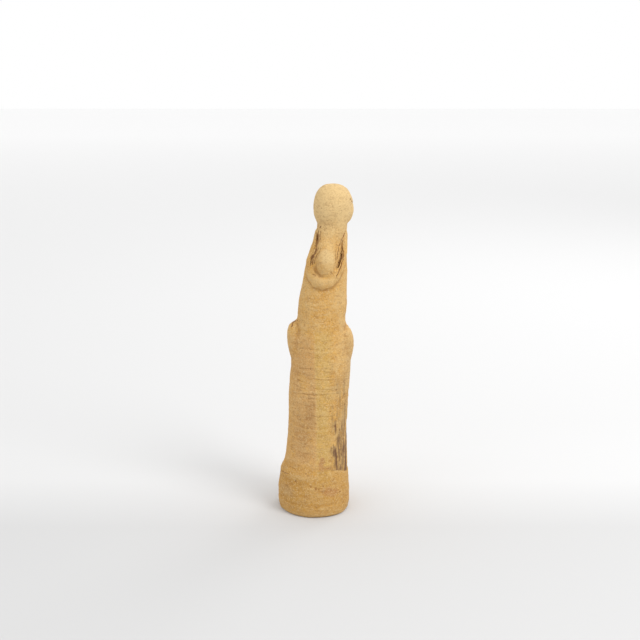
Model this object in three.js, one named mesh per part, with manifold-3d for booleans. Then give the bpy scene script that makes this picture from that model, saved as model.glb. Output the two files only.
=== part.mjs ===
// A standing woman in unglazed stoneware. A tall tube of clay is paddled into shape and leans to her
// right. The arms, collar, hair and head are pressed on while it is soft, and the whole is fired as one
// hollow piece, open underneath. Millimetres, +Z up. She faces -Y, her right side is -X, and the origin
// is in the middle of her footprint, on the surface that she stands on.

import * as THREE from "three";
import { mergeVertices } from "three/addons/utils/BufferGeometryUtils.js";
import Module from "manifold-3d";

const wasm = await Module();
wasm.setup();

// Driving dimensions
const HEIGHT = 560;
const WALL = 10;
const HOLLOW_TOP = 400;
const HEAD_TURN = -22;
const HEAD_BOW = 6;
const SLIT = 2.4;

const CLAY = new THREE.MeshStandardMaterial({ color: 0xc69a5c, roughness: 0.85, metalness: 0 });

// The thrown tube, from the foot to the neck. At each height z it has its middle (x, y), its half width
// and half depth, and how square its section is to her left and right: 2 is an ellipse, and less brings
// up soft corners.
const BODY = [
  { z: 0, x: 0, y: 0, width: 57.5, depth: 62, left: 1.9, right: 2.35 },
  { z: 3, x: 0, y: 0, width: 60, depth: 64.5, left: 1.9, right: 2.35 },
  { z: 12, x: 0, y: 0, width: 61.2, depth: 66, left: 1.88, right: 2.25 },
  { z: 36, x: 0, y: 0, width: 61.4, depth: 66, left: 1.86, right: 2.05 },
  { z: 56, x: -1, y: 0, width: 59, depth: 63.5, left: 1.84, right: 1.95 },
  { z: 70, x: -0.8, y: 0, width: 57.8, depth: 62, left: 1.84, right: 1.84 },
  { z: 84, x: -3.6, y: -0.5, width: 54.3, depth: 59, left: 1.84, right: 1.84 },
  { z: 104, x: -5.2, y: -1, width: 52.2, depth: 57, left: 1.84, right: 1.84 },
  { z: 150, x: -7, y: -1, width: 50, depth: 55, left: 1.86, right: 1.86 },
  { z: 206, x: -8.6, y: -1, width: 51.3, depth: 54.5, left: 1.9, right: 1.9 },
  { z: 250, x: -12.2, y: -2, width: 50.6, depth: 53, left: 1.9, right: 1.9 },
  { z: 280, x: -12.6, y: -2, width: 49.6, depth: 50, left: 1.86, right: 1.86 },
  { z: 304, x: -12.6, y: -2, width: 47.5, depth: 46.5, left: 1.9, right: 1.9 },
  { z: 320, x: -12, y: -2, width: 41.5, depth: 44, left: 2, right: 2 },
  { z: 338, x: -13.2, y: -2, width: 40.3, depth: 42, left: 2.05, right: 2.05 },
  { z: 362, x: -15.4, y: -1, width: 41, depth: 39.5, left: 2.1, right: 2.1 },
  { z: 384, x: -17.3, y: 0, width: 38.4, depth: 36, left: 2.1, right: 2.1 },
  { z: 404, x: -19.6, y: -1, width: 36.6, depth: 33, left: 2.1, right: 2.1 },
  { z: 416, x: -20.9, y: -2, width: 35.2, depth: 31.5, left: 2.1, right: 2.1 },
  { z: 430, x: -21.8, y: -3, width: 33.4, depth: 29.5, left: 2.1, right: 2.1 },
  { z: 444, x: -23.9, y: -4.5, width: 30.9, depth: 27.5, left: 2.1, right: 2.1 },
  { z: 457, x: -26.4, y: -6, width: 28.2, depth: 25.5, left: 2.1, right: 2.1 },
  { z: 470, x: -28.5, y: -7.5, width: 25.5, depth: 24, left: 2, right: 2 },
  { z: 486, x: -30.8, y: -8.5, width: 25, depth: 23, left: 2, right: 2 },
  { z: 500, x: -32, y: -8.5, width: 25, depth: 22.5, left: 2, right: 2 },
];

// Catmull-Rom between the rows of a table whose rows are objects with the same number keys.
function between(rows, t) {
  const last = rows.length - 1;
  const i = Math.min(Math.floor(t), last - 1);
  const f = t - i;
  const [a, b, c, d] = [i - 1, i, i + 1, i + 2].map((k) => rows[Math.min(Math.max(k, 0), last)]);
  const made = {};
  for (const key of Object.keys(b)) {
    const [p, q, r, s] = [a[key], b[key], c[key], d[key]];
    made[key] = q + 0.5 * f * (r - p + f * (2 * p - 5 * q + 4 * r - s + f * (3 * (q - r) + s - p)));
  }
  return made;
}

// A closed skin over rings of points, each ring with the same number of points, and a cap at each end.
function skin(rings) {
  const sides = rings[0].length;
  const middle = (ring) => ring.reduce((sum, p) => sum.add(p), new THREE.Vector3()).divideScalar(sides);
  const points = [...rings.flat(), middle(rings[0]), middle(rings.at(-1))];
  const start = rings.length * sides;
  const index = [];
  for (let j = 0; j < sides; j++) {
    const k = (j + 1) % sides;
    for (let i = 0; i + 1 < rings.length; i++) {
      const low = i * sides;
      const high = low + sides;
      index.push(low + j, low + k, high + k, low + j, high + k, high + j);
    }
    index.push(start, k, j);
    index.push(start + 1, start - sides + j, start - sides + k);
  }
  return new THREE.BufferGeometry().setFromPoints(points).setIndex(index);
}

// A point on the section that a row of a table like BODY describes, at an angle from +X to +Y.
function onSection(row, angle) {
  const [c, s] = [Math.cos(angle), Math.sin(angle)];
  const square = c > 0 ? row.left : row.right;
  const reach = (Math.abs(c) ** square + Math.abs(s) ** square) ** (-1 / square);
  return new THREE.Vector3(row.x + row.width * reach * c, row.y + row.depth * reach * s, row.z);
}

// A tube over a table like BODY, with rings about one step apart.
function tube(table, sides, step) {
  const rings = [];
  const angles = Array.from({ length: sides }, (_, j) => (j / sides) * 2 * Math.PI);
  const section = (row) => angles.map((angle) => onSection(row, angle));
  for (let i = 0; i + 1 < table.length; i++) {
    const cuts = Math.max(1, Math.round((table[i + 1].z - table[i].z) / step));
    for (let k = 0; k < cuts; k++) rings.push(section(between(table, i + k / cuts)));
  }
  rings.push(section(table.at(-1)));
  return skin(rings);
}

// A roll or strap of clay laid along a route. Each row of the route has a place (x, y, z), a half width
// along the surface and a half thickness out of it. out says which way is out of the surface at a place,
// and square is 2 for a round roll and more for a flat strap.
function roll(route, sides, step, out, square = 2) {
  const rings = [];
  const last = route.length - 1;
  const at = (t) => between(route, Math.min(Math.max(t, 0), last));
  const place = (row) => new THREE.Vector3(row.x, row.y, row.z);
  const ends = sides > 8 ? [0.45, 0.85] : [0.7];
  const ring = (t, share, shift) => {
    const row = at(t);
    const along = place(at(t + 0.05)).sub(place(at(t - 0.05))).normalize();
    const side = new THREE.Vector3().crossVectors(out(place(row)), along).normalize();
    const up = new THREE.Vector3().crossVectors(along, side);
    const middle = place(row).addScaledVector(along, shift * Math.min(row.wide, row.thick));
    return Array.from({ length: sides }, (_, j) => {
      const angle = (j / sides) * 2 * Math.PI;
      const [c, s] = [Math.cos(angle), Math.sin(angle)];
      const reach = share * (Math.abs(c) ** square + Math.abs(s) ** square) ** (-1 / square);
      return middle
        .clone()
        .addScaledVector(side, row.wide * reach * c)
        .addScaledVector(up, row.thick * reach * s);
    });
  };
  for (const share of ends) rings.push(ring(0, share, -Math.sqrt(1 - share * share)));
  for (let i = 0; i < last; i++) {
    const cuts = Math.max(1, Math.round(place(route[i]).distanceTo(place(route[i + 1])) / step));
    for (let k = 0; k < cuts; k++) rings.push(ring(i + k / cuts, 1, 0));
  }
  rings.push(ring(last, 1, 0));
  for (const share of ends.toReversed()) rings.push(ring(last, share, Math.sqrt(1 - share * share)));
  return skin(rings);
}

// The body's row at a height.
function bodyAt(z) {
  const i = Math.min(BODY.length - 2, Math.max(0, BODY.findLastIndex((row) => row.z <= z)));
  return between(BODY, i + Math.min(1, (z - BODY[i].z) / (BODY[i + 1].z - BODY[i].z)));
}

// Out of the surface, for clay laid on the body: level, and away from the middle of the tube there.
function outOfBody(p) {
  const row = bodyAt(p.z);
  return new THREE.Vector3(p.x - row.x, p.y - row.y, 0).normalize();
}

// A route laid on the body. Each row has a height, a turn in degrees round the body from her left to her
// back, and a lift of the strap's middle off the surface.
function laid(rows) {
  return rows.map(({ z, turn, lift, wide, thick }) => {
    const p = onSection(bodyAt(z), THREE.MathUtils.degToRad(turn));
    p.addScaledVector(outOfBody(p), lift);
    return { x: p.x, y: p.y, z, wide, thick };
  });
}

// Out of the surface, for clay laid on the head, in the head's own frame.
const outOfHead = (p) => new THREE.Vector3(p.x, p.y, 0.5 * p.z).normalize();

// A pebble of clay: a sphere stretched to three half sizes.
function pebble(across, deep, tall, x, y, z, sides = 16) {
  const ball = new THREE.SphereGeometry(1, sides, Math.round(sides * 0.6));
  return ball.scale(across, deep, tall).translate(x, y, z);
}

// A group of clay meshes, which are pressed into one by fuse.
function clay(...shapes) {
  const group = new THREE.Group();
  for (const shape of shapes) group.add(shape.isObject3D ? shape : new THREE.Mesh(shape, CLAY));
  return group;
}

// Each mesh of a group as a solid in the group's outer frame.
function solidsOf(group) {
  group.updateMatrixWorld(true);
  const solids = [];
  group.traverse((mesh) => {
    if (!mesh.isMesh) return;
    const bare = new THREE.BufferGeometry();
    bare.setAttribute("position", mesh.geometry.getAttribute("position").clone());
    bare.setIndex(mesh.geometry.index);
    const merged = mergeVertices(bare.applyMatrix4(mesh.matrixWorld), 1e-3);
    const corners = merged.index.array;
    const kept = [];
    for (let i = 0; i < corners.length; i += 3) {
      const [a, b, c] = corners.slice(i, i + 3);
      if (a !== b && b !== c && c !== a) kept.push(a, b, c);
    }
    const mesh3 = new wasm.Mesh({
      numProp: 3,
      vertProperties: merged.attributes.position.array,
      triVerts: new Uint32Array(kept),
    });
    solids.push(new wasm.Manifold(mesh3));
  });
  return solids;
}

// The arms. Each comes down flat against the body from under the collar, swells to a round elbow, turns
// forward and crosses the belly.
const UPPER_ARM = [
  { z: 400, turn: -48, lift: -2, wide: 9, thick: 4.5 },
  { z: 376, turn: -45, lift: -1, wide: 11.5, thick: 5 },
  { z: 350, turn: -43, lift: -1, wide: 13, thick: 5.5 },
  { z: 325, turn: -41, lift: -1, wide: 14.5, thick: 7 },
  { z: 298, turn: -36, lift: 0, wide: 17, thick: 9 },
];
const UPPER_ARMS = [UPPER_ARM, UPPER_ARM.map((row) => ({ ...row, turn: 180 - row.turn }))];
const ELBOWS = [
  [
    { x: 24.5, y: 0, z: 311, wide: 22, thick: 20 },
    { x: 24, y: -2, z: 290, wide: 25, thick: 20 },
    { x: 21.5, y: -4, z: 268, wide: 22, thick: 17 },
    { x: 16, y: -5, z: 246, wide: 16, thick: 15 },
  ],
  [
    { x: -45.5, y: -1, z: 302, wide: 24, thick: 21.5 },
    { x: -46, y: -2, z: 286, wide: 26, thick: 22 },
    { x: -44, y: -4, z: 262, wide: 22, thick: 19 },
    { x: -39, y: -5, z: 238, wide: 17, thick: 17 },
  ],
];
// The sleeve's fullness between upper arm and elbow.
const SLEEVES = [pebble(18, 22, 29, 23, -14, 302), pebble(19, 23, 29, -46, -14, 296)];
const FOREARMS = [
  [
    { x: 24, y: -14, z: 286, wide: 19, thick: 16 },
    { x: 20, y: -36, z: 283, wide: 15, thick: 13 },
    { x: 5, y: -51, z: 286, wide: 12.5, thick: 10.5 },
    { x: -11, y: -55, z: 291, wide: 10, thick: 8.5 },
  ],
  [
    { x: -48, y: -14, z: 282, wide: 19, thick: 17 },
    { x: -44, y: -39, z: 284, wide: 15, thick: 13 },
    { x: -31, y: -53.5, z: 294, wide: 12, thick: 10.5 },
    { x: -18, y: -58.5, z: 302, wide: 9.5, thick: 8 },
  ],
];

// The hands, with the right one laid over the left.
const FINGER = { count: 4, wide: 3.3, thick: 5, pitch: 5.1 };
const FINGER_LENGTH = [0.85, 0.97, 1, 0.88];
function hand(palm, reach, drop, lift) {
  const fingers = FINGER_LENGTH.map((long, i) => {
    const up = ((FINGER.count - 1) / 2 - i) * FINGER.pitch;
    const at = (share, spread, sink, size) => ({
      x: palm.x + share * reach,
      y: palm.y - lift + sink + 1.6,
      z: palm.z + spread * up - share * share * drop,
      wide: size * FINGER.wide,
      thick: size * FINGER.thick,
    });
    const route = [at(0.1, 0.95, 0, 1), at(0.6 * long, 1, 0.6, 1), at(long, 0.85, 3.4, 0.85)];
    return roll(route, 6, 9, outOfBody);
  });
  const thumb = roll(
    [
      { x: palm.x, y: palm.y - lift, z: palm.z + 7, wide: 3.8, thick: 3.6 },
      { x: palm.x + 0.4 * reach, y: palm.y - lift + 0.5, z: palm.z + 11, wide: 3.6, thick: 3.6 },
      { x: palm.x + 0.7 * reach, y: palm.y - lift + 2, z: palm.z + 10, wide: 3.2, thick: 3.4 },
    ],
    6,
    9,
    outOfBody,
  );
  return clay(pebble(12, 6.5, 10, palm.x, palm.y, palm.z, 12), thumb, ...fingers);
}
const HANDS = [
  pebble(27, 10.5, 13, -9, -50.5, 296, 12),
  hand({ x: -17, y: -56, z: 290 }, -24, -3, 1),
  hand({ x: -12, y: -59, z: 302 }, 26, 9, 3),
];

// The collar: one strap of clay, which crosses in a point on the chest, stands up beside the cheeks and
// hangs in a bow behind the hair.
const COLLAR = [
  { z: 366, turn: -103, lift: -1.5, wide: 7, thick: 3 },
  { z: 390, turn: -89, lift: -0.5, wide: 12, thick: 4 },
  { z: 418, turn: -74, lift: -0.5, wide: 13, thick: 4 },
  { z: 445, turn: -58, lift: -0.5, wide: 12.5, thick: 4 },
  { z: 468, turn: -34, lift: -1, wide: 11, thick: 4 },
  { z: 475, turn: 0, lift: -1.5, wide: 10, thick: 4 },
  { z: 464, turn: 21, lift: -1.5, wide: 9.5, thick: 4.5 },
  { z: 449, turn: 26, lift: -1.5, wide: 10, thick: 4.5 },
  { z: 436, turn: 29, lift: -1, wide: 10, thick: 5 },
  { z: 424, turn: 38, lift: -0.5, wide: 10, thick: 5.5 },
  { z: 412, turn: 53, lift: 0.5, wide: 10.5, thick: 6 },
  { z: 404, turn: 68, lift: 1.5, wide: 11, thick: 6.5 },
  { z: 401.5, turn: 84, lift: 2, wide: 11, thick: 7 },
  { z: 404, turn: 99, lift: 1.5, wide: 10.5, thick: 6.5 },
  { z: 412, turn: 114, lift: 0.5, wide: 9.5, thick: 6 },
  { z: 424, turn: 129, lift: 0, wide: 8, thick: 5.5 },
  { z: 436, turn: 140, lift: 0, wide: 7, thick: 5 },
  { z: 450, turn: 147, lift: 0, wide: 7, thick: 4.5 },
  { z: 463, turn: 154, lift: -0.5, wide: 8, thick: 4.5 },
  { z: 475, turn: 178, lift: -1.5, wide: 10, thick: 4 },
  { z: 468, turn: 214, lift: -1, wide: 11, thick: 4 },
  { z: 445, turn: 238, lift: -0.5, wide: 12.5, thick: 4 },
  { z: 418, turn: 252, lift: -0.5, wide: 13, thick: 4 },
  { z: 394, turn: 264, lift: 0.5, wide: 12, thick: 4 },
  { z: 362, turn: 282, lift: 0, wide: 7, thick: 3.5 },
];

// The hair: a tail down the back of the neck, which spreads and ends in a round knot inside the bow of
// the collar. Down to SLIT_END it lies in a pocket that is one SLIT wider than itself.
const TAIL = [
  { x: -32.2, y: 3, z: 522, wide: 22, thick: 19 },
  { x: -32.2, y: 5.5, z: 504, wide: 25, thick: 18.5 },
  { x: -30.6, y: 6.5, z: 488, wide: 22, thick: 17 },
  { x: -26.9, y: 10.5, z: 467, wide: 19.6, thick: 16.5 },
  { x: -23.4, y: 15.5, z: 448, wide: 22.6, thick: 15.5 },
  { x: -18.8, y: 19, z: 432, wide: 23.2, thick: 13.5 },
  { x: -17.5, y: 22, z: 420, wide: 20, thick: 11 },
  { x: -17.5, y: 25, z: 411, wide: 14, thick: 8 },
];
const SLIT_END = 430;
const KNOT = { wide: 16, deep: 13, tall: 26, x: -20.4, y: 30, z: 434.5 };

// The head, in its own frame: +Z to the crown, and the face to -Y. The hair is a thick cap with an
// opening in front.
const HEAD = { x: -32.2, y: -7, z: 522 };
const CROWN = HEIGHT - HEAD.z;
const CAP = { x: 0, y: 0, z: 0, width: 31.6, depth: CROWN, left: 2.4, right: 2.4, deep: 34.8 };
const cap = new THREE.LatheGeometry(
  Array.from({ length: 15 }, (_, i) => {
    const p = onSection(CAP, (i / 14 - 0.5) * Math.PI);
    return new THREE.Vector2(i % 14 ? p.x : 0, p.y);
  }),
  28,
)
  .rotateX(Math.PI / 2)
  .scale(1, CAP.deep / CAP.width, 1);
const opening = pebble(23.5, 17, 33, 0, -36.5, -14, 24);

// The face: calm, with lowered lids, on even thirds from the hairline to the brow, the nose base and the
// chin. Each row has a height, the half width of the face there, and how far the middle line stands
// forward.
const FACE = [
  { z: 26, half: 15, front: 22 },
  { z: 17, half: 20, front: 28.2 },
  { z: 8, half: 22.5, front: 30.6 },
  { z: 0, half: 23.5, front: 31.2 },
  { z: -6, half: 23.5, front: 30.2 },
  { z: -14, half: 22.5, front: 30.4 },
  { z: -22, half: 19, front: 30.6 },
  { z: -29, half: 14.5, front: 30 },
  { z: -34, half: 10.5, front: 27.5 },
  { z: -38, half: 6, front: 22 },
];
// Soft swellings of the face, and dents where the size is negative: place, half spans and size.
const FEATURES = [
  { x: 0, z: -3, across: 2.2, tall: 5, size: 2 },
  { x: 0, z: -9, across: 2.6, tall: 4.5, size: 4.2 },
  { x: 0, z: -14, across: 3.2, tall: 2.8, size: 5.2 },
  { x: 0, z: -21.3, across: 6, tall: 1.5, size: 1.8 },
  { x: 0, z: -25.2, across: 5, tall: 1.7, size: 1.7 },
  { x: 0, z: -28, across: 5, tall: 1.2, size: -0.8 },
  { x: 0, z: -32, across: 5.5, tall: 3.2, size: 2.2 },
  ...[-1, 1].flatMap((side) => [
    { x: side * 4.4, z: -15, across: 1.7, tall: 2, size: 2.2 },
    { x: side * 10.5, z: -4, across: 5, tall: 3.6, size: -3.4 },
    { x: side * 10.5, z: -5, across: 4.2, tall: 2.2, size: 3.2 },
    { x: side * 7, z: 3.2, across: 4, tall: 2, size: 1.1 },
    { x: side * 13, z: 3, across: 4, tall: 2, size: 1.1 },
    { x: side * 13.5, z: -14, across: 5.5, tall: 5, size: 1.8 },
  ]),
];
function faceFront(row, x) {
  const flank = 8;
  const fill = Math.max(0, 1 - Math.abs(x / row.half) ** 2.4) ** (1 / 2.4);
  const bell = (f) => f.size * Math.exp(-(((x - f.x) / f.across) ** 2) - ((row.z - f.z) / f.tall) ** 2);
  const swell = FEATURES.reduce((sum, f) => sum + bell(f), 0);
  return flank + (row.front - flank) * fill + swell * Math.min(1, 3 * fill);
}
const FACE_STEP = 2.2;
const faceColumns = Array.from({ length: 21 }, (_, i) => Math.sin((i / 20 - 0.5) * Math.PI));
const face = skin(
  Array.from({ length: Math.round((FACE[0].z - FACE.at(-1).z) / FACE_STEP) + 1 }, (_, k) => {
    const z = FACE.at(-1).z + k * FACE_STEP;
    const i = Math.min(FACE.length - 2, FACE.findLastIndex((r) => r.z >= z));
    const row = between(FACE, i + (FACE[i].z - z) / (FACE[i].z - FACE[i + 1].z));
    row.z = z;
    const front = faceColumns.map((share) => {
      const x = share * row.half;
      return new THREE.Vector3(x, -faceFront(row, x), z);
    });
    const back = [0.8, 0, -0.8].map((share) => new THREE.Vector3(share * row.half, 0, z));
    return [...front, ...back];
  }),
);

// A lock of hair down each side of the face, from the parting to the jaw.
const locks = [-1, 1].map((side) =>
  roll(
    [
      { x: side * 2, y: -30, z: 25, wide: 5, thick: 3 },
      { x: side * 14, y: -27, z: 20, wide: 6.5, thick: 4 },
      { x: side * 23, y: -19, z: 8, wide: 7.5, thick: 5 },
      { x: side * 27, y: -13, z: -5, wide: 8, thick: 5.5 },
      { x: side * 24.5, y: -10, z: -20, wide: 7, thick: 5 },
    ],
    8,
    10,
    outOfHead,
  ),
);

function headFrame(group) {
  group.position.set(HEAD.x, HEAD.y, HEAD.z);
  group.rotation.set(THREE.MathUtils.degToRad(HEAD_BOW), 0, THREE.MathUtils.degToRad(HEAD_TURN), "ZXY");
  return group;
}

const join = (solids) => wasm.Manifold.union(solids);
const fuse = (group) => join(solidsOf(group));

const tail = (rows) => roll(rows, 16, 12, outOfBody);
const pocket = TAIL.filter((row) => row.z > SLIT_END)
  .map((row) => ({ ...row, y: row.y + SLIT / 2, wide: row.wide + SLIT }));

const body = fuse(
  clay(
    tube(BODY, 44, 18),
    ...UPPER_ARMS.map((rows) => roll(laid(rows), 10, 14, outOfBody)),
    ...SLEEVES,
    ...ELBOWS.map((route) => roll(route, 16, 12, outOfBody)),
    ...FOREARMS.map((route) => roll(route, 12, 12, outOfBody)),
    ...HANDS,
    roll(laid(COLLAR), 10, 12, outOfBody, 2.6),
  ),
);
const hair = fuse(headFrame(clay(cap))).subtract(fuse(headFrame(clay(opening))));
const faceAndLocks = fuse(headFrame(clay(face, ...locks)));
const knot = pebble(KNOT.wide, KNOT.deep, KNOT.tall, KNOT.x, KNOT.y, KNOT.z, 18);
const knotAndTail = fuse(clay(tail(TAIL), knot));

// The hollow follows the tube one wall inside it, and closes in a dome under the collar.
const DOME = 15;
const UNDER = 5;
const inside = BODY.filter((row) => row.z > 3 || row.z === 0)
  .filter((row) => row.z < HOLLOW_TOP - DOME)
  .map((row) => ({ ...row, z: row.z || -UNDER, width: row.width - WALL, depth: row.depth - WALL }));
const dome = [0.5, 0.8, 0.97].map((share) => {
  const row = inside.at(-1);
  const shrink = Math.sqrt(1 - share * share);
  return { ...row, z: row.z + DOME * share, width: row.width * shrink, depth: row.depth * shrink };
});
const hollow = fuse(clay(tube([...inside, ...dome], 20, 60)));

const dressed = join([body.subtract(fuse(clay(tail(pocket)))), knotAndTail, hair, faceAndLocks]);
const whole = dressed.subtract(hollow);

// A solid as a named mesh that stands over the origin. Where two skins cross they leave edges shorter
// than GRAIN, and those are closed up.
const GRAIN = 0.08;
function meshOf(solid, name) {
  const { vertProperties, triVerts } = solid.getMesh();
  const points = Array.from({ length: vertProperties.length / 3 }, (_, i) =>
    new THREE.Vector3().fromArray(vertProperties, 3 * i),
  );
  const home = points.map((_, i) => i);
  const homeOf = (i) => {
    while (home[i] !== i) i = home[i];
    return i;
  };
  const index = Array.from(triVerts);
  for (let i = 0; i < index.length; i += 3) {
    for (let k = 0; k < 3; k++) {
      const [a, b] = [homeOf(index[i + k]), homeOf(index[i + ((k + 1) % 3)])];
      if (a !== b && points[a].distanceTo(points[b]) < GRAIN) home[b] = a;
    }
  }
  const kept = [];
  for (let i = 0; i < index.length; i += 3) {
    const [a, b, c] = index.slice(i, i + 3).map(homeOf);
    if (a !== b && b !== c && c !== a) kept.push(a, b, c);
  }
  const used = [...new Set(kept)];
  const slot = new Map(used.map((old, i) => [old, i]));
  const geometry = new THREE.BufferGeometry().setFromPoints(used.map((i) => points[i]));
  geometry.setIndex(kept.map((i) => slot.get(i)));
  geometry.computeBoundingBox();
  const middle = geometry.boundingBox.getCenter(new THREE.Vector3());
  geometry.translate(-middle.x, -middle.y, 0);
  const mesh = new THREE.Mesh(geometry, CLAY);
  mesh.name = name;
  return mesh;
}

const figure = new THREE.Group();
figure.add(meshOf(whole, "woman"));

export default figure;
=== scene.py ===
import math

import bpy
import numpy as np
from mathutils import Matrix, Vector


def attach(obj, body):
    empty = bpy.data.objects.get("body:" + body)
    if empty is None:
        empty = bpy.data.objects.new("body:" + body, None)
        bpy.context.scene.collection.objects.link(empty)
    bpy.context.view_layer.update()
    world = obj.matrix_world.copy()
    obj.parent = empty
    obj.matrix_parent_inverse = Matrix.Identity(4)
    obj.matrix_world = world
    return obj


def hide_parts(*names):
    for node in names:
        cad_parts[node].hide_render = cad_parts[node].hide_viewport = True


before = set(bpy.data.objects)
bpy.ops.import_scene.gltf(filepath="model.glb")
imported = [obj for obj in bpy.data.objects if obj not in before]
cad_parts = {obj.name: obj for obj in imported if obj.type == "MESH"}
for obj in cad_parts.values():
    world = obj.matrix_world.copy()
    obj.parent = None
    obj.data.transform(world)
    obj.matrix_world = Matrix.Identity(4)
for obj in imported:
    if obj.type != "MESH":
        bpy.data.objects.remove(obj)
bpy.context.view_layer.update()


# The studio
# A wide pale paper floor under a white sky, one large soft lamp high on the figure's right, a weak one on her
# left and one in front of her, for her face. The camera stands behind her and looks down a little.
FLOOR_SIZE = 16
# How pale the paper is painted, from far behind the figure to just in front of her: distance in metres and tone. The
# paper is not darker there: the tone falls towards her and in front of her as painted shade, for the light's fall-off
# and the shaded turn of a backdrop that isn't there.
FLOOR_PAINTED_FALLOFF = [(-6, 0.95), (-1.5, 0.75), (-0.44, 0.69), (-0.27, 0.69), (-0.11, 0.68), (0.1, 0.58)]

bpy.ops.object.select_all(action="DESELECT")
bpy.ops.mesh.primitive_plane_add(size=FLOOR_SIZE, location=(0, 0, 0))
floor = bpy.context.object
floor.name = "studio_floor"

paper = bpy.data.materials.new("pale_paper")
paper.use_nodes = True
paper_tree = paper.node_tree
paper_shader = paper_tree.nodes["Principled BSDF"]
paper_shader.inputs["Roughness"].default_value = 0.9
paper_place = paper_tree.nodes.new("ShaderNodeTexCoord")
paper_axes = paper_tree.nodes.new("ShaderNodeSeparateXYZ")
paper_tree.links.new(paper_place.outputs["Object"], paper_axes.inputs[0])
paper_share = paper_tree.nodes.new("ShaderNodeMapRange")
FLOOR_START, FLOOR_END = FLOOR_PAINTED_FALLOFF[0][0], FLOOR_PAINTED_FALLOFF[-1][0]
paper_share.inputs["From Min"].default_value = FLOOR_START
paper_share.inputs["From Max"].default_value = FLOOR_END
paper_tree.links.new(paper_axes.outputs["Y"], paper_share.inputs["Value"])
# The painted fall-off of light across the floor.
paper_falloff = paper_tree.nodes.new("ShaderNodeValToRGB")
paper_falloff_marks = paper_falloff.color_ramp.elements
for distance, tone in FLOOR_PAINTED_FALLOFF[1:-1]:
    paper_falloff_marks.new((distance - FLOOR_START) / (FLOOR_END - FLOOR_START))
for paper_mark, (distance, tone) in zip(paper_falloff_marks, FLOOR_PAINTED_FALLOFF):
    paper_mark.color = (tone, tone, tone, 1)
paper_tree.links.new(paper_share.outputs["Result"], paper_falloff.inputs[0])
paper_tree.links.new(paper_falloff.outputs["Color"], paper_shader.inputs["Base Color"])
floor.data.materials.append(paper)

world = bpy.data.worlds.new("white_sky")
world.use_nodes = True
world.node_tree.nodes["Background"].inputs["Color"].default_value = (1, 1, 1, 1)
world.node_tree.nodes["Background"].inputs["Strength"].default_value = 1.0
bpy.context.scene.world = world


def soft_lamp(name, place, aim, size, power):
    bpy.ops.object.light_add(type="AREA", location=place)
    lamp = bpy.context.object
    lamp.name = name
    lamp.data.shape = "DISK"
    lamp.data.size = size
    lamp.data.energy = power
    lamp.rotation_euler = (Vector(aim) - Vector(place)).to_track_quat("-Z", "Y").to_euler()


MIDDLE = (0, 0, 0.3)
soft_lamp("key_lamp", (-1.5, 1.3, 2.2), MIDDLE, 1.3, 33)
soft_lamp("fill_lamp", (2.0, 1.6, 1.4), MIDDLE, 1.8, 6)
soft_lamp("face_lamp", (-1.3, -1.9, 1.9), MIDDLE, 1.2, 10)

CAMERA_AIM = (-0.0077, 0.0001, 0.3307)
CAMERA_DISTANCE = 2.0886
CAMERA_ELEVATION = math.radians(14.5)
bpy.ops.object.camera_add(
    location=(
        CAMERA_AIM[0],
        CAMERA_AIM[1] + CAMERA_DISTANCE * math.cos(CAMERA_ELEVATION),
        CAMERA_AIM[2] + CAMERA_DISTANCE * math.sin(CAMERA_ELEVATION),
    ),
    rotation=(math.pi / 2 - CAMERA_ELEVATION, 0, math.pi),
)
camera = bpy.context.object
camera.name = "camera"
camera.data.sensor_width = 36
camera.data.lens = 70
bpy.context.scene.camera = camera
bpy.context.scene.view_settings.view_transform = "Standard"


# The figure
# One hollow piece of coarse unglazed stoneware, thrown as a tall tube, paddled, scraped and dressed with
# straps and rolls of the same clay. It is the frame's own solid, made smooth and then worked over.
mm = 0.001
VOXEL = 1.0
MERGE = 0.01

bpy.ops.object.select_all(action="DESELECT")
figure = bpy.data.objects.new("clay_figure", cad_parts["woman"].data.copy())
bpy.context.scene.collection.objects.link(figure)
figure.select_set(True)
bpy.context.view_layer.objects.active = figure
bpy.ops.object.mode_set(mode="EDIT")
bpy.ops.mesh.select_all(action="SELECT")
bpy.ops.mesh.remove_doubles(threshold=MERGE * mm)
bpy.ops.object.mode_set(mode="OBJECT")


def finish_with(kind, **settings):
    """Adds a modifier to the figure and applies it."""
    bpy.ops.object.modifier_add(type=kind)
    modifier = figure.modifiers[-1]
    for name, value in settings.items():
        setattr(modifier, name, value)
    bpy.ops.object.modifier_apply(modifier=modifier.name)


finish_with("REMESH", mode="VOXEL", voxel_size=VOXEL * mm)


def skin():
    """Where each point of the figure is, in millimetres, and which way the skin faces there."""
    count = len(figure.data.vertices)
    place, facing = np.empty(count * 3, np.float32), np.empty(count * 3, np.float32)
    figure.data.vertices.foreach_get("co", place)
    figure.data.vertices.foreach_get("normal", facing)
    return place.reshape(-1, 3).astype(float) / mm, facing.reshape(-1, 3).astype(float)


def set_skin(place):
    figure.data.vertices.foreach_set("co", (place * mm).astype(np.float32).ravel())
    figure.data.update()


def step(value, low, high):
    """From 0 at low to 1 at high, with soft ends."""
    share = np.clip((value - low) / (high - low), 0, 1)
    return share * share * (3 - 2 * share)


def window(value, low, high, soft):
    """1 between low and high, and 0 a soft width outside them."""
    return step(value, low - soft, low) * (1 - step(value, high, high + soft))


# The tube's middle and half sizes at some heights: height, x, y, half width, half depth.
TUBE = np.array(
    [
        (0, 3, 0, 58, 63),
        (40, 3, 0, 61, 66),
        (84, 0, 0, 54, 59),
        (150, -4, -1, 50, 55),
        (206, -5, -1, 51, 54.5),
        (250, -9, -2, 50.6, 53),
        (304, -9, -2, 47.5, 46.5),
        (330, -9, -2, 41, 43),
        (362, -12, -1, 41, 39.5),
        (404, -16, -1, 36.6, 33),
    ]
)


def outer(place):
    """1 on the outside of the tube and 0 on the wall of the hollow."""
    x, y, wide, deep = [np.interp(place[:, 2], TUBE[:, 0], TUBE[:, k]) for k in range(1, 5)]
    ratio = np.hypot((place[:, 0] - x) / wide, (place[:, 1] - y) / deep)
    return ((ratio > 0.92) | (place[:, 2] > 404)).astype(float)


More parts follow.
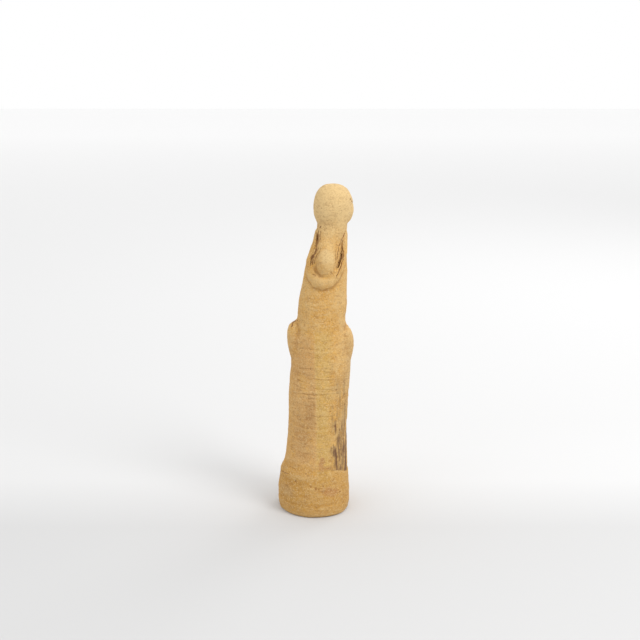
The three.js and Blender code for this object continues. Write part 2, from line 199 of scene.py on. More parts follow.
# The head's own frame: middle at the origin, crown up, face to -y.
HEAD = (-28.9, -6.9, 522)
HEAD_TURN = math.radians(-22)
HEAD_BOW = math.radians(6)
turn = np.array(
    [
        [math.cos(HEAD_TURN), -math.sin(HEAD_TURN), 0],
        [math.sin(HEAD_TURN), math.cos(HEAD_TURN), 0],
        [0, 0, 1],
    ]
)
bow = np.array(
    [
        [1, 0, 0],
        [0, math.cos(HEAD_BOW), -math.sin(HEAD_BOW)],
        [0, math.sin(HEAD_BOW), math.cos(HEAD_BOW)],
    ]
)


def in_head(place):
    return (place - HEAD) @ turn @ bow


def face_share(place):
    """1 on the face and 0 on the hair round it."""
    x, y, z = in_head(place).T
    return window(z, -38, 26, 3) * (1 - step(y, -20, -15)) * (1 - step(np.abs(x), 22, 25))


def smooth(weight, times):
    """Rubs the skin smooth where weight is high, by that many strokes of the thumb."""
    group = figure.vertex_groups.new(name="rubbed")
    levels = np.round(weight * 8).astype(int)
    for level in range(1, 9):
        group.add(np.flatnonzero(levels == level).tolist(), level / 8, "REPLACE")
    finish_with("SMOOTH", factor=0.5, iterations=times, vertex_group="rubbed")
    figure.vertex_groups.clear()


# The solid's flats go from the wide plain walls first, and the slits beside the hair stay open.
place, facing = skin()
x, y, z = place.T
face = face_share(place)
arms = window(z, 238, 335, 8) * (1 - step(y, 8, 22))
chest = window(z, 335, 480, 8) * (1 - step(y, -12, 0))
bow_and_tail = window(z, 385, 484, 6) * step(y, -2, 6)
slits = window(z, 422, 486, 4) * step(y, -6, 0)
hood = step(z, 488, 500) * (1 - face)
plain = 1 - np.maximum.reduce([face, arms, chest, bow_and_tail, step(z, 395, 480) * 0.75])
smooth(np.maximum(plain, hood * step(np.linalg.norm(in_head(place) / (31, 34, 38), axis=1), 0.8, 0.9)), 60)
fingers = step(-y, 42, 47) * window(z, 278, 320, 4)
smooth((1 - face) * (1 - slits) * (1 - 0.85 * fingers), 10)
knot_top = window(z, 447, 478, 5) * window(x, -31, -4, 4) * step(y, 8, 14)
rounded = window(z, 380, 424, 5) * step(y, -6, 4)
place, facing = skin()
from_knot = np.hypot((x + 17.5) / 15.5, (z - 437) / 24) - 1
swell = 5.5 * np.exp(-((from_knot / np.where(from_knot > 0, 0.42, 0.16)) ** 2))
swell *= step(z, 440, 454) * (1 - step(np.abs(x + 18), 13, 18)) * step(y, 16, 20) * step(facing[:, 1], 0, 0.3)
set_skin(place + np.outer(swell, (0, 1, 0)))
smooth(np.maximum(knot_top, 0.8 * rounded), 40)
smooth(knot_top, 60)
knot_round = 1 - step(np.hypot((x + 17) / 19, (z - 437) / 32), 0.85, 1.05)
smooth(knot_round * step(y, 16, 20) * (1 - step(np.abs(x + 17), 15, 18.5)), 30)
smooth(np.ones(len(z)), 2)


def cut_finer(chosen):
    """Halves the faces whose corners are all chosen, for work finer than the rest."""
    faces = figure.data.polygons
    corners = np.empty(len(figure.data.loops), np.int32)
    figure.data.loops.foreach_get("vertex_index", corners)
    starts = np.empty(len(faces), np.int32)
    faces.foreach_get("loop_start", starts)
    for things in (figure.data.vertices, figure.data.edges):
        things.foreach_set("select", np.zeros(len(things), bool))
    faces.foreach_set("select", np.logical_and.reduceat(chosen[corners], starts))
    bpy.ops.object.mode_set(mode="EDIT")
    bpy.ops.mesh.select_mode(type="FACE")
    bpy.ops.mesh.subdivide(number_cuts=1)
    bpy.ops.object.mode_set(mode="OBJECT")


# Cracks beside the hair, where the tail was pressed into its pocket and tore as it dried. Each has points
# by x and z on the back, its width and its depth, and how wide a band of torn clay lies along it.
CRACKS = [
    ([(-4.8, 483), (-3.6, 473), (-2.8, 465), (-1.5, 459), (0.7, 451), (4.2, 443), (7, 436), (9, 429)], 0.85, 2.6, 4.5),
    ([(-8.8, 486), (-8.4, 476), (-7.6, 470)], 0.6, 0.8, 0),
    ([(-5.2, 459), (-2.4, 454), (1.9, 445), (4.5, 438), (5.5, 431)], 0.7, 1.2, 3),
    ([(-9, 459), (-6, 453), (-1.4, 446), (0.7, 439), (1.9, 432)], 0.6, 0.8, 0),
    ([(-48.3, 479), (-44.9, 473), (-41.8, 467), (-39.5, 461)], 0.8, 1.4, 2),
    ([(-45.5, 469), (-42.8, 463), (-43.6, 456), (-42.7, 451)], 0.7, 1.0, 3),
    ([(-42.7, 452), (-42.1, 445), (-40.3, 438), (-38.5, 431), (-36.1, 425)], 0.9, 2.6, 4.5),
    ([(-44.9, 457), (-46.3, 447), (-44.8, 436), (-41, 426), (-36.9, 417), (-34, 412)], 0.9, 1.6, 0),
    ([(-38.7, 460), (-36.9, 450), (-36.9, 441)], 0.7, 1.1, 3),
    ([(-34.1, 458), (-33.1, 449), (-34.6, 439)], 0.6, 0.8, 0),
    ([(5.4, 416.5), (-1.4, 414.6)], 0.9, 0.9, 0),
    ([(-26.3, 420), (-29.3, 416.5)], 0.8, 0.8, 0),
    ([(-9.2, 492.5), (-7.8, 490)], 1.1, 1.6, 0),
    ([(29.5, 332), (33, 331), (38, 327), (40, 321)], 1.1, 1.6, 0),
    ([(61, 65), (53, 68.5), (47, 70)], 0.9, 1.0, 0),
    ([(39.5, 82.6), (34.3, 81.3)], 0.8, 0.7, 0),
]


def along_line(place, line):
    """How far each point lies from a line on her back, on which side, and how far along the line."""
    line = np.array(line, float)
    nearest = np.full(len(place), 1e3)
    side = np.zeros(len(place))
    way = np.zeros(len(place))
    gone = 0
    for (x0, z0), (x1, z1) in zip(line, line[1:]):
        dx, dz = x1 - x0, z1 - z0
        long = math.hypot(dx, dz)
        share = np.clip(((place[:, 0] - x0) * dx + (place[:, 2] - z0) * dz) / long**2, 0, 1)
        off_x, off_z = place[:, 0] - x0 - share * dx, place[:, 2] - z0 - share * dz
        off = np.hypot(off_x, off_z)
        closer = off < nearest
        nearest[closer] = off[closer]
        side[closer] = np.sign(off_x * dz - off_z * dx)[closer]
        way[closer] = (gone + share * long)[closer]
        gone += long
    return nearest, side, way, gone


def round_cracks(place, reach):
    chosen = np.zeros(len(place), bool)
    rear = (place[:, 1] > -14) & (outer(place) > 0)
    for line, width, depth, torn in CRACKS:
        ends = np.array(line, float)
        off = np.abs(place[:, (0, 2)] - ends.mean(axis=0)) - np.ptp(ends, axis=0)
        near = np.flatnonzero(rear & (off.max(axis=1) < torn + 4))
        chosen[near] |= along_line(place[near], line)[0] < max(torn, width) + reach
    return chosen


# The face, the fingers and the clay round the cracks are cut finer, because what is worked there is small.
place, facing = skin()
head_x, head_y, head_z = in_head(place).T
fine = (head_y < -15) & (np.abs(head_x) < 24) & (head_z > -40) & (head_z < 27)
fine |= (place[:, 1] < -44) & (np.abs(place[:, 0]) < 26) & (np.abs(place[:, 2] - 299) < 20)
cut_finer(fine | round_cracks(place, 2.5))
smooth(face_share(skin()[0]), 2)
place, facing = skin()
head_x, head_y, head_z = in_head(place).T
eyes = (np.abs(np.abs(head_x) - 10.5) < 8) & (np.abs(head_z + 4) < 8)
mouth = (np.abs(head_x) < 10) & (np.abs(head_z + 21) < 8)
cut_finer(((head_y < -17) & (eyes | mouth)) | round_cracks(place, 1.5))

lattice = np.random.default_rng(11).uniform(-1, 1, (32, 32, 32))


def lumps(place, size, seed=0):
    """Soft lumps and dents, one size apart, from -1 to 1. The size may differ along x, y and z."""
    at = place / size + 7.3 * seed
    cell = np.floor(at).astype(int)
    share = at - cell
    share = share * share * (3 - 2 * share)
    total = np.zeros(len(place))
    for corner in np.ndindex(2, 2, 2):
        near = np.where(corner, share, 1 - share).prod(axis=1)
        i, j, k = ((cell + corner) % 32).T
        total += near * lattice[i, j, k]
    return total


place, facing = skin()
x, y, z = place.T
head_x, head_y, head_z = in_head(place).T
outside = outer(place)
on_face = face_share(place)
on_arms = window(z, 238, 335, 8) * (1 - step(y, 8, 22))
robe = outside * (1 - on_arms) * (1 - step(z, 370, 395))
height = np.zeros(len(z))
# Painted shade in grooves, cracks, pits and the creases of the face, kept as the crack attribute.
crevice_shade = np.zeros(len(z))

# Uneven thumbing all over, near-level ridges that a scraper leaves as the tube turns, and coarse grit.
height += (1 - 0.85 * on_face) * (0.45 * lumps(place, 28) + 0.3 * lumps(place, 11, 1))
height += robe * 0.32 * lumps(place, (38, 38, 4.2), 2) * (0.6 + 0.6 * lumps(place, 50, 3))
height += robe * 0.22 * lumps(place, (60, 60, 8), 4)
grit = (1 - 0.8 * on_face) * outside
height += grit * (0.16 * lumps(place, 4.5, 5) + 0.13 * lumps(place, 2.6, 6))

# The edge between two paddled flats down her back, and the rim of the band round the foot.
edge_x = np.interp(z, [60, 200, 290], [-2.5, -1.5, 0.5])
height += 0.4 * outside * np.exp(-np.abs(x - edge_x) / 2.5) * step(y, 10, 30) * window(z, 90, 300, 20)
rim_z = np.interp(x, [-54, -43, -36, -20], [67, 75, 78.5, 80])
rim = step(-x, 14, 26) * step(y, -30, -10) * (1 - step(z - rim_z, -1, 0.4)) * step(z, 36, 72)
height += 0.55 * outside * rim


def scratch(line, width, depth, seed=0, wander=0.7, broken=0.5):
    """Draws a groove, or a ridge where depth is below 0, on her back, and says how strongly each point lies in it, for
    painted shade or a stain.
    """
    reach = np.array(line, float)
    low, high = reach.min(axis=0) - 6, reach.max(axis=0) + 6
    some = np.flatnonzero((y > -14) & (outside > 0) & (x > low[0]) & (x < high[0]) & (z > low[1]) & (z < high[1]))
    moved = place[some].copy()
    moved[:, 0] += wander * lumps(place[some], 3.5, seed + 10) + 0.4 * wander * lumps(place[some], 1.4, seed + 13)
    moved[:, 2] += wander * lumps(place[some], 3.5, seed + 11) + 0.4 * wander * lumps(place[some], 1.4, seed + 14)
    nearest, side, way, whole = along_line(moved, line)
    ends = step(way, -1, 0.1 * whole + 1) * (1 - step(way, 0.9 * whole - 1, whole + 1))
    wide = width * (0.35 + 0.65 * ends) * (1 + 0.35 * lumps(place[some], 5, seed + 15))
    share = np.clip(1 - (nearest / wide), 0, 1) ** 0.6 * (1 - broken * (0.5 + 0.5 * lumps(place[some], 6, seed + 12)))
    share *= np.maximum(step(facing[some, 1], -0.35, 0.1), 0.5 * step(np.abs(facing[some, 0]), 0.8, 0.95))
    return some, share, depth * share, nearest, side, way


# Scored lines round the back, which a coarse grain dragged under the scraper, and ridges between them.
SCORES = [
    ([(0, 244.3), (-18, 243.4), (-34, 241)], -0.55),
    ([(17, 243), (0, 242.4), (-34, 239)], 0.55),
    ([(42, 211.5), (24, 217), (7.6, 219.9), (-28, 218), (-47, 214.5)], -0.6),
    ([(21, 215.1), (3, 214.6), (-15, 215.4)], 0.9),
    ([(4, 226.7), (-14, 224.6), (-28, 222.6)], 0.7),
    ([(-14, 226.8), (-31, 226.5), (-40, 229)], -0.6),
    ([(38, 228), (26, 224.5), (15, 222.5)], 0.6),
    ([(27, 256), (8, 259)], 0.6),
    ([(12, 208), (-8, 209)], 0.6),
    ([(30, 236), (10, 233)], 0.5),
    ([(34, 248), (16, 250)], 0.45),
    ([(34, 198), (14, 195), (2, 196)], 0.45),
    ([(-6, 252), (-34, 253)], 0.45),
    ([(-2, 264), (-30, 266)], 0.35),
    ([(-4, 178), (-30, 176)], 0.4),
    ([(32, 168), (12, 165)], 0.4),
    ([(26, 128), (6, 126)], 0.35),
    ([(48, 34), (29, 37)], 0.6),
    ([(9, 58.3), (-2.6, 53.8), (-16, 52.5)], 0.7),
    ([(-12, 131), (-24, 131.5)], 0.4),
    ([(30, 306), (25, 284)], -0.5),
    ([(33, 300), (29, 288)], -0.4),
]
for number, (line, depth) in enumerate(SCORES):
    some, share, deep = scratch(line, 1.3, depth, number)[:3]
    height[some] -= deep
    # Painted shade in the scored grooves.
    crevice_shade[some] = np.maximum(crevice_shade[some], 0.28 * share * (depth > 0))

# A crack is pushed inwards and forwards, so that its mouth stays narrow, and its band is torn in strands. Its inside
# and its strands are painted with shade.
hole = np.zeros(len(z))
for number, (line, width, depth, torn) in enumerate(CRACKS):
    some, share, deep, nearest, side, way = scratch(line, width, depth, number + 60, 0.8, 0.25)
    hole[some] = np.maximum(hole[some], deep)
    crevice_shade[some] = np.maximum(crevice_shade[some], np.clip(0.3 + depth / 2, 0, 1) * share)
    if torn:
        strands = lumps(np.stack([nearest * side / 1.1, way / 11, way * 0], axis=1), 1, number + 80)
        strands = step(strands, 0.1, 0.55) * (1 - step(nearest, 0.4 * torn, torn)) * step(facing[some, 1], -0.2, 0.2)
        strands *= step(way, 1, 6)
        hole[some] = np.maximum(hole[some], 0.8 * strands)
        crevice_shade[some] = np.maximum(crevice_shade[some], 0.5 * strands)

# Pits where grit and trapped air broke out of her back: x, z, how wide and how deep.
PITS = [
    (34.4, 62, 1.6, 1.3),
    (16.3, 77, 1.2, 0.8),
    (12.6, 75, 1.2, 0.8),
    (7.9, 56, 1.5, 0.9),
    (-0.5, 52.5, 1.9, 1.0),
    (-5, 51.5, 1.3, 0.8),
    (-13.2, 57, 1.4, 0.8),
    (-41.8, 40.6, 1.7, 1.3),
    (-1.3, 19.5, 1.2, 0.7),
    (34, 185.5, 1.2, 0.8),
    (-24.8, 184.5, 1.2, 0.9),
    (-32.8, 157.6, 1.7, 1.2),
    (-40.5, 147.7, 1.3, 0.8),
    (-0.6, 165, 1.2, 0.7),
    (7.8, 138, 1.2, 0.7),
    (8.5, 258.8, 1.3, 0.7),
    (-34.8, 221, 1.4, 0.9),
    (-46.6, 231.6, 1.3, 0.8),
    (-49.5, 190, 1.3, 0.9),
    (-26, 421, 1.2, 0.7),
]


def mark(spot, width, depth, long=0, way=(0, 0, 1), shade=0.45):
    """A pit, or a short stroke along a way, with as much painted shade in it as shade says."""
    some = np.flatnonzero((np.abs(place - spot) < long + 3 * width).all(axis=1))
    off = place[some] - spot
    along = off @ way
    across = np.sqrt(np.maximum((off**2).sum(axis=1) - along**2, 0))
    along = np.maximum(np.abs(along) - long, 0)
    share = np.exp(-(across**2 + along**2) / width**2) * outside[some]
    height[some] -= depth * share
    crevice_shade[some] = np.maximum(crevice_shade[some], shade * share)


rear = np.flatnonzero((y > 8) & (outside > 0) & (facing[:, 1] > 0.2))
for pit_x, pit_z, width, depth in PITS:
    nearest = rear[np.hypot(x[rear] - pit_x, z[rear] - pit_z).argmin()]
    mark(place[nearest], width, depth, shade=0.6)

# Smaller pits and grains anywhere on the outside, and on the robe also short strokes of dragged grit.
chance = np.random.default_rng(5)
anywhere = np.flatnonzero((outside > 0) & (on_face < 0.1) & (z > 3))
for spot in chance.choice(anywhere, 260, replace=False):
    mark(place[spot], chance.uniform(0.6, 1.2), chance.uniform(-0.5, 0.9))
for spot in chance.choice(np.flatnonzero(robe > 0.9), 170, replace=False):
    level = np.array([-facing[spot, 1], facing[spot, 0], 0])
    way = level / np.linalg.norm(level)
    mark(place[spot], 0.7, chance.uniform(0.15, 0.45), chance.uniform(1, 5), way, 0.18)
for spot in chance.choice(np.flatnonzero((z > 440) & (on_face < 0.1)), 70, replace=False):
    way = np.cross(facing[spot], chance.normal(size=3))
    way /= np.linalg.norm(way)
    mark(place[spot], 0.6, chance.uniform(0.2, 0.5), chance.uniform(0.5, 2.5), way, 0.25)

# A crack over the swelling at the right of the head.
for spot in [(-59.6, 0, 535), (-60.4, -4, 532), (-61.2, -8, 530), (-62, -12, 527.5), (-62.2, -15.5, 525)]:
    mark(place[((place - spot) ** 2).sum(axis=1).argmin()], 1.1, 1.3, 2.5, (-0.3, -0.75, -0.45), 1)

# Dents where a tool's end touched the back of the head.
for dent_x, dent_z in [(-24, 533), (-21, 528), (-17.5, 530), (-28, 529), (-31, 533), (-37, 531), (-26, 546)]:
    nearest = rear[np.hypot(x[rear] - dent_x, z[rear] - dent_z).argmin()]
    mark(place[nearest], 1.0, 0.5, 1.6, (0.2, 0.1, 0.97), 0.3)

# The face: lowered lids, brows, the wings of the nose, and closed lips. Sizes are in the head's frame.
front = (head_y < -17) * 1.0
side_x = np.abs(head_x)


def groove(off, width):
    return np.exp(-((off / width) ** 2)) * front


eye = (side_x - 10.4) / 5.4
in_eye = 1 - step(np.abs(eye), 0.85, 1.1)
lash = head_z + 6.0 + 0.9 * (1 - eye**2)
fold = head_z + 3.4 - 2.6 * (1 - np.clip(eye, -1.2, 1.2) ** 2)
height += 0.5 * groove(lash - 2.2, 2.2) * in_eye
height -= 1.0 * groove(lash, 0.55) * in_eye
height += 0.35 * groove(lash + 1.1, 0.7) * in_eye
height -= 0.25 * groove(lash + 2.6, 0.9) * in_eye
height -= 0.6 * groove(fold, 0.6) * (1 - step(np.abs(eye), 0.9, 1.25))
brow = head_z - 4.0 - 1.6 * (1 - ((side_x - 11) / 9) ** 2)
height += 0.55 * groove(brow, 1.3) * window(side_x, 4.5, 16.5, 2)
wing = np.hypot(side_x - 4.0, head_z + 14.6)
height -= 0.5 * groove(wing - 2.9, 0.7) * step(side_x, 4.2, 5.8)
height -= 1.3 * groove(np.hypot(side_x - 2.3, head_z + 17.2), 1.0)
height -= 0.3 * groove(side_x, 1.0) * window(head_z, -20.2, -18.2, 0.8)
height += 0.2 * groove(side_x - 1.9, 0.8) * window(head_z, -20.2, -18.2, 0.8)
lips = head_z + 23.2 - 0.5 * np.cos(side_x * 1.1) * np.exp(-side_x / 3) + 0.05 * side_x
height -= 1.0 * groove(lips, 0.55) * (1 - step(side_x, 6.2, 7.6))
height += 0.35 * groove(lips - 1.5, 0.9) * (1 - step(side_x, 4, 7))
height += 0.45 * groove(lips + 1.7, 1.1) * (1 - step(side_x, 3.5, 6.5))
height -= 0.35 * groove(lips + 3.9 - 0.02 * side_x**2, 0.8) * (1 - step(side_x, 3, 6.5))
height -= 0.5 * groove(np.hypot(side_x - 7.4, head_z + 22.9), 0.9)
# Painted shade in the lash line, between the lips and in the nostrils.
crevice_shade = np.maximum(crevice_shade, 0.55 * groove(lash, 0.5) * in_eye)
crevice_shade = np.maximum(crevice_shade, 0.5 * groove(lips, 0.5) * (1 - step(side_x, 6.2, 7.6)))
crevice_shade = np.maximum(crevice_shade, 0.6 * groove(np.hypot(side_x - 2.3, head_z + 17.2), 0.9))

# Combed lines in the hair beside the face, from the parting to the jaw.
ring = np.hypot(head_x / 26, (head_z + 4) / 31) * 26
comb = np.cos(2 * math.pi * (ring + 0.5 * lumps(place, 9, 31)) / 3.4)
hair = step(-head_y, 2, 9) * window(head_z, -24, 30, 5) * step(ring, 21.5, 24) * (1 - step(ring, 33, 38))
height += 0.28 * comb * hair * (1 - on_face)

# The right hand lies over the left: nails and knuckles on its fingers, and the sleeve's edge at the wrist.
FINGERTIPS = [(12.6, 302), (15.6, 296), (16.3, 291), (13.4, 288.5)]
hands = step(-y, 46, 50) * window(z, 275, 322, 3)
for tip_x, tip_z in FINGERTIPS:
    nail = np.hypot((x - tip_x + 0.8) / 2.2, (z - tip_z) / 1.5)
    height -= 0.3 * hands * np.exp(-(((nail - 1) / 0.3) ** 2))
    for back_x in (7.5, 13):
        joint = np.hypot((x - tip_x + back_x) / 0.6, (z - tip_z - 0.18 * back_x) / 1.8)
        height -= 0.3 * hands * np.exp(-(joint**2))
FINGER_GAPS = [(-5, 302.4, 14, 299), (-6, 297.3, 16.5, 293.5), (-4, 293.4, 15, 289.6)]
for start_x, start_z, end_x, end_z in FINGER_GAPS:
    off = z - np.interp(x, [start_x, end_x], [start_z, end_z])
    along = step(x, start_x - 3, start_x + 5) * (1 - step(x, end_x + 1, end_x + 3))
    height -= hands * along * (0.9 * np.exp(-((off / 0.7) ** 2)) + 0.5 * np.exp(-((off / 1.5) ** 2)))
cuff = x + 16.5 - 0.012 * (z - 303) ** 2
height += 0.9 * hands * (step(-cuff, -0.6, 0.6) - step(-cuff, 0.6, 9)) * window(z, 291, 314, 2)

ABOVE_FLOOR = 0.03
inwards = facing * 0.45 + np.array([0, 0.55, 0])
worked = place + facing * height[:, None] - inwards * hole[:, None]
worked[:, 2] = np.maximum(worked[:, 2], ABOVE_FLOOR)
set_skin(worked)

# How deep each point lies below the clay round it, in millimetres, for painted shade in hollows and a painted highlight
# on crests.
ends = np.empty(len(figure.data.edges) * 2, np.int32)
figure.data.edges.foreach_get("vertices", ends)
ends = ends.reshape(-1, 2)
one, other = ends.T
many = np.bincount(ends.ravel(), minlength=len(z))
worked, worked_facing = skin()
level = worked.copy()
for _ in range(24):
    level = np.stack(
        [
            (np.bincount(one, level[other, k], len(z)) + np.bincount(other, level[one, k], len(z))) / many
            for k in range(3)
        ],
        axis=1,
    )
sunk = ((level - worked) * worked_facing).sum(axis=1)


def keep(name, values):
    """Stores a value for each point, for the clay's colours."""
    layer = figure.data.attributes.new(name, "FLOAT", "POINT")
    layer.data.foreach_set("value", values.astype(np.float32))


back = step(facing[:, 1], 0.05, 0.25) * step(y, 0, 8)


def patch(at_x, at_z, wide, tall, soft=0.6, rag=0.5, seed=0):
    """A soft-edged patch on her back."""
    off = np.hypot((x - at_x) / wide, (z - at_z) / tall) + rag * lumps(place, 6, 30 + seed)
    return back * (1 - step(off, 1 - soft, 1 + soft))


# A dark wash down the right of her back, in upright streaks that stop at the foot's band.
wash = back * step(-x, 20, 34) * step(z - rim_z, -0.6, 0.8) * (1 - step(z, 215, 275))
streak = lumps(place, (2.6, 2.6, 22), 20) + 0.6 * lumps(place, (1.6, 1.6, 9), 21)
low_down = 0.35 + 0.65 * step(-z, -210, -130)
stain = wash * np.clip(0.3 + 0.45 * streak, 0, 1) * low_down
STREAKS = [
    ([(-33.2, 168), (-33.4, 149)], 1.6, 0.8),
    ([(-41.1, 150), (-41.1, 143)], 1.4, 0.7),
    ([(-30.2, 126), (-30.6, 104)], 1.3, 0.85),
    ([(-26.5, 122), (-26.2, 112)], 1.1, 0.7),
    ([(-34, 116), (-35.2, 98), (-36.4, 78)], 1.7, 1.0),
    ([(-41, 112), (-41.5, 92)], 1.2, 0.8),
    ([(-47.2, 118), (-47, 86)], 1.5, 0.9),
    ([(-43, 84), (-43.3, 76)], 1.6, 0.8),
    ([(-51, 82), (-52, 76)], 1.6, 0.6),
    ([(-41.6, 212), (-41.7, 186)], 1.2, 0.6),
    ([(-48, 240), (-48.5, 205)], 1.0, 0.6),
    ([(-36, 232), (-36.5, 214)], 1.2, 0.45),
    ([(-49.5, 190), (-50, 160)], 1.1, 0.55),
]
for _ in range(70):
    top_x, top_z, long = chance.uniform(-53, -25), 80 + 190 * chance.uniform(0, 1) ** 1.8, chance.uniform(5, 22)
    low_strength = 0.35 + 0.35 * (top_z < 140)
    STREAKS.append(
        (
            [(top_x, top_z), (top_x - 0.3, top_z - long)],
            chance.uniform(0.5, 0.9),
            low_strength * chance.uniform(0.7, 1.3),
        )
    )
for number, (line, width, strong) in enumerate(STREAKS):
    some, share = scratch(line, width * 1.4, 0, number + 40, 0.55, 0.5)[:2]
    stain[some] = np.maximum(stain[some], strong * share * step((z - rim_z)[some], -0.6, 0.8))

# A painted highlight on the top of the knot, kept in the pale share with the paler clay of the head and neck.
knot_highlight = patch(-19, 447, 12, 12, 0.6, 0.15)
pale = np.maximum(step(z, 445, 520), 0.85 * knot_highlight)
pale = np.maximum(pale * (1 - 0.6 * back * window(z, 384, 432, 8)), 0.25 * step(-x, 25, 50) * window(z, 230, 400, 20))
from_edge = x - edge_x + 0.8 * lumps(place, 14, 29)
yellow = back * (1 - step(from_edge, -1.5, 1.5)) * step(x + 3 * lumps(place, 16, 28), -34, -16) * window(z, 70, 310, 25)
pink = back * step(from_edge, -1.5, 2.5) * window(z, 95, 300, 22) * (1 - 0.6 * step(x, 30, 44))
brown = np.maximum.reduce(
    [
        patch(8, 178, 8, 26, 0.5, 0.5, 1),
        0.6 * patch(19, 140, 13, 30, 0.7, 0.6, 2),
        0.5 * patch(2, 205, 6, 18, 0.7, 0.5, 3),
        0.5 * patch(-40, 236, 10, 14, 0.7, 0.6, 4),
        0.45 * patch(24, 250, 18, 8, 0.8, 0.6, 5),
    ]
)
RUST = [(-10, 97, 4, 7, 1), (-14, 86, 8, 4, 0.9), (-26, 43, 13, 6, 0.75), (-19, 49, 8, 4, 0.6)]
rust = np.maximum.reduce([strong * patch(*spot, 0.5, 0.7, 6) for *spot, strong in RUST])
# Darker clay round the foot, and on her left side, away from the key lamp, painted shade over it as well.
foot_earth_and_shade = (1 - step(z, 62, 96)) * (0.85 + 0.25 * step(x, 0, 45)) * outside
# A grey patch of the clay low on her left, and a band of painted shade along her outline on her right.
grey_patch_and_edge_shade = np.maximum(patch(48, 41, 9, 8, 0.6, 0.5, 7), 0.5 * step(-x, 42, 55) * window(z, 90, 300, 20) * outside)

keep("crack", crevice_shade)
keep("stain", stain)
keep("rust", rust)
keep("pale", pale)
keep("yellow", yellow)
keep("pink", np.maximum(pink, 0))
keep("brown", brown)
keep("foot_earth_and_shade", np.clip(foot_earth_and_shade, 0, 1))
keep("grey_patch_and_edge_shade", grey_patch_and_edge_shade)
# Painted shade in hollows and a painted highlight on crests, from how deep each point lies.
keep("hollow", np.clip(sunk / 0.45, 0, 1) * outside)
keep("crest_highlight", np.clip(-sunk / 0.4, 0, 1) * outside)

# The wall of the hollow gets few faces, and the outside all the rest.
INNER_TRIANGLES = 16000
TRIANGLES = 196000
finish_with("TRIANGULATE")


def thin_out(chosen, count):
    group = figure.vertex_groups.new(name="thinned")
    group.add(np.flatnonzero(chosen).tolist(), 1, "REPLACE")
    ratio = count / len(figure.data.polygons)
    finish_with("DECIMATE", ratio=ratio, vertex_group="thinned", vertex_group_factor=1)
    figure.vertex_groups.clear()


inner = outer(skin()[0]) == 0
corners = np.empty(len(figure.data.loops), np.int32)
figure.data.loops.foreach_get("vertex_index", corners)
outer_faces = (~inner[corners].reshape(-1, 3).all(axis=1)).sum()
thin_out(inner, outer_faces + INNER_TRIANGLES)
thin_out(outer(skin()[0]) > 0, TRIANGLES)
bpy.ops.object.shade_smooth()

# Fired clay: ochre, in clouds from tan to yellow and pink, with dark grains and a dry, dragged surface, and with
# painted shade in hollows, cracks, pits and at the foot and her right outline, and painted highlights on crests and the
# knot.
clay = bpy.data.materials.new("fired_clay")
clay.use_nodes = True
tree = clay.node_tree


def add(kind, inputs, output=0, **settings):
    """Adds a node. What is put in is a number, a colour or another node's output."""
    made = tree.nodes.new("ShaderNode" + kind)
    for name, value in settings.items():
        setattr(made, name, value)
    for key, value in inputs.items():
        if isinstance(value, bpy.types.NodeSocket):
            tree.links.new(value, made.inputs[key])
        else:
            made.inputs[key].default_value = value
    return made.outputs[output]


object_place = add("TexCoord", {}, "Object")
object_z = add("SeparateXYZ", {0: object_place}, "Z")


def clouds(size, detail=3, stretch=(1, 1, 1), seed=0):
    """Noise with lumps about one size in millimetres, from 0 to 1."""
    scale = [1 / (size * mm * s) for s in stretch]
    where = add("Mapping", {"Vector": object_place, "Location": (seed, 2 * seed, 0), "Scale": scale})
    return add("TexNoise", {"Vector": where, "Scale": 1, "Detail": detail, "Roughness": 0.6})


def share_of(value, low, high):
    ends = {"Value": value, "From Min": low, "From Max": high}
    return add("MapRange", ends, interpolation_type="SMOOTHSTEP")


def times(a, b):
    return add("Math", {0: a, 1: b}, operation="MULTIPLY")


def mix(a, b, share, mode="MIX"):
    return add("Mix", {0: share, 6: a, 7: b}, 2, data_type="RGBA", blend_type=mode)




def painted(name, strength=1.0):
    return times(add("Attribute", {}, "Fac", attribute_name=name), strength)


OCHRE = (0.59, 0.318, 0.078, 1)
GOLD = (0.68, 0.38, 0.088, 1)
TAN = (0.62, 0.375, 0.128, 1)
PINK = (0.575, 0.32, 0.115, 1)
YELLOW = (0.545, 0.35, 0.092, 1)
PALE = (0.70, 0.505, 0.245, 1)
FOOT_EARTH_AND_SHADE = (0.475, 0.242, 0.045, 1)
BROWN = (0.30, 0.145, 0.05, 1)
GREY_TONE_AND_EDGE_SHADE = (0.41, 0.265, 0.13, 1)
UMBER = (0.20, 0.125, 0.06, 1)
RED = (0.36, 0.135, 0.06, 1)
DARK = (0.13, 0.055, 0.03, 1)
CRACK_SHADE = (0.15, 0.034, 0.014, 1)
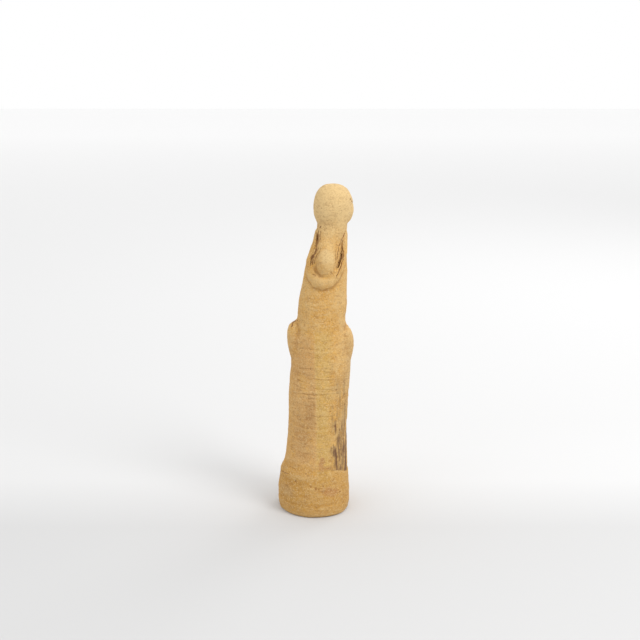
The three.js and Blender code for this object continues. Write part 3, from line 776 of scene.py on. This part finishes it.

# Wide clouds first, then the clay's own changes of colour, some with painted shade or highlight in them, and speckle
# over all of them; then painted shade in hollows, a painted highlight on crests, the stains, and painted shade in the
# cracks.
colour = mix(OCHRE, TAN, share_of(clouds(26, 4), 0.42, 0.6))
colour = mix(colour, PINK, painted("pink", 0.75))
colour = mix(colour, YELLOW, painted("yellow", 0.65))
colour = mix(colour, GOLD, times(share_of(clouds(17, 4, (1, 1, 1.4), 3), 0.5, 0.66), 0.5))
# The pale share holds a painted highlight on the knot.
colour = mix(colour, PALE, painted("pale", 0.85))
# Painted shade on her left side of the foot, over the foot's darker clay.
colour = mix(colour, FOOT_EARTH_AND_SHADE, painted("foot_earth_and_shade", 0.85))
colour = mix(colour, BROWN, painted("brown", 0.45))
# Painted shade along her right outline, and a grey patch of clay.
colour = mix(colour, GREY_TONE_AND_EDGE_SHADE, painted("grey_patch_and_edge_shade", 0.5))
colour = mix(colour, RED, painted("rust", 0.6))
colour = mix(colour, BROWN, times(share_of(clouds(7, 5, (1.6, 1.6, 0.7), 5), 0.5, 0.7), 0.42))
colour = mix(colour, BROWN, times(share_of(clouds(3.2, 4, (1, 1, 1), 7), 0.52, 0.68), 0.42))
colour = mix(colour, PALE, times(share_of(clouds(3.0, 3, (1, 1, 1), 11), 0.52, 0.66), 0.5))
colour = mix(colour, BROWN, times(share_of(clouds(1.7, 2, (1, 1, 1), 13), 0.55, 0.7), 0.6))
colour = mix(colour, PALE, times(share_of(clouds(1.6, 2, (1, 1, 1), 9), 0.55, 0.7), 0.65))
dragged = share_of(clouds(1.3, 3, (9, 9, 0.8), 15), 0.55, 0.75)
colour = mix(colour, BROWN, times(times(dragged, share_of(object_z, 0.34, 0.3)), 0.3))
# Painted shade in the hollows.
colour = mix(colour, BROWN, painted("hollow", 0.5))
# A painted highlight on the crests.
colour = mix(colour, PALE, painted("crest_highlight", 0.3))
stained = painted("stain")
colour = mix(colour, UMBER, times(share_of(stained, 0.0, 0.5), 0.6))
colour = mix(colour, DARK, times(share_of(stained, 0.3, 0.75), 0.85))
# Painted shade in cracks, grooves, pits and the creases of the face.
painted_crevice_shade = painted("crack")
colour = mix(colour, BROWN, times(share_of(painted_crevice_shade, 0.1, 0.6), 0.85))
colour = mix(colour, CRACK_SHADE, times(share_of(painted_crevice_shade, 0.5, 1.0), 0.85))

shader = tree.nodes["Principled BSDF"]
tree.links.new(colour, shader.inputs["Base Color"])
rough = add("MapRange", {"Value": clouds(5, 3), "To Min": 0.74, "To Max": 0.95})
tree.links.new(rough, shader.inputs["Roughness"])
shader.inputs["Specular IOR Level"].default_value = 0.3
grain = add("Math", {0: clouds(1.2, 4), 1: times(clouds(3.0, 4, (3, 3, 0.7)), 1.4)}, operation="ADD")
bump = add("Bump", {"Height": grain, "Distance": 0.9 * mm, "Strength": 1.0})
tree.links.new(bump, shader.inputs["Normal"])

figure.data.materials.clear()
figure.data.materials.append(clay)

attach(figure, "root")
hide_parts("woman")
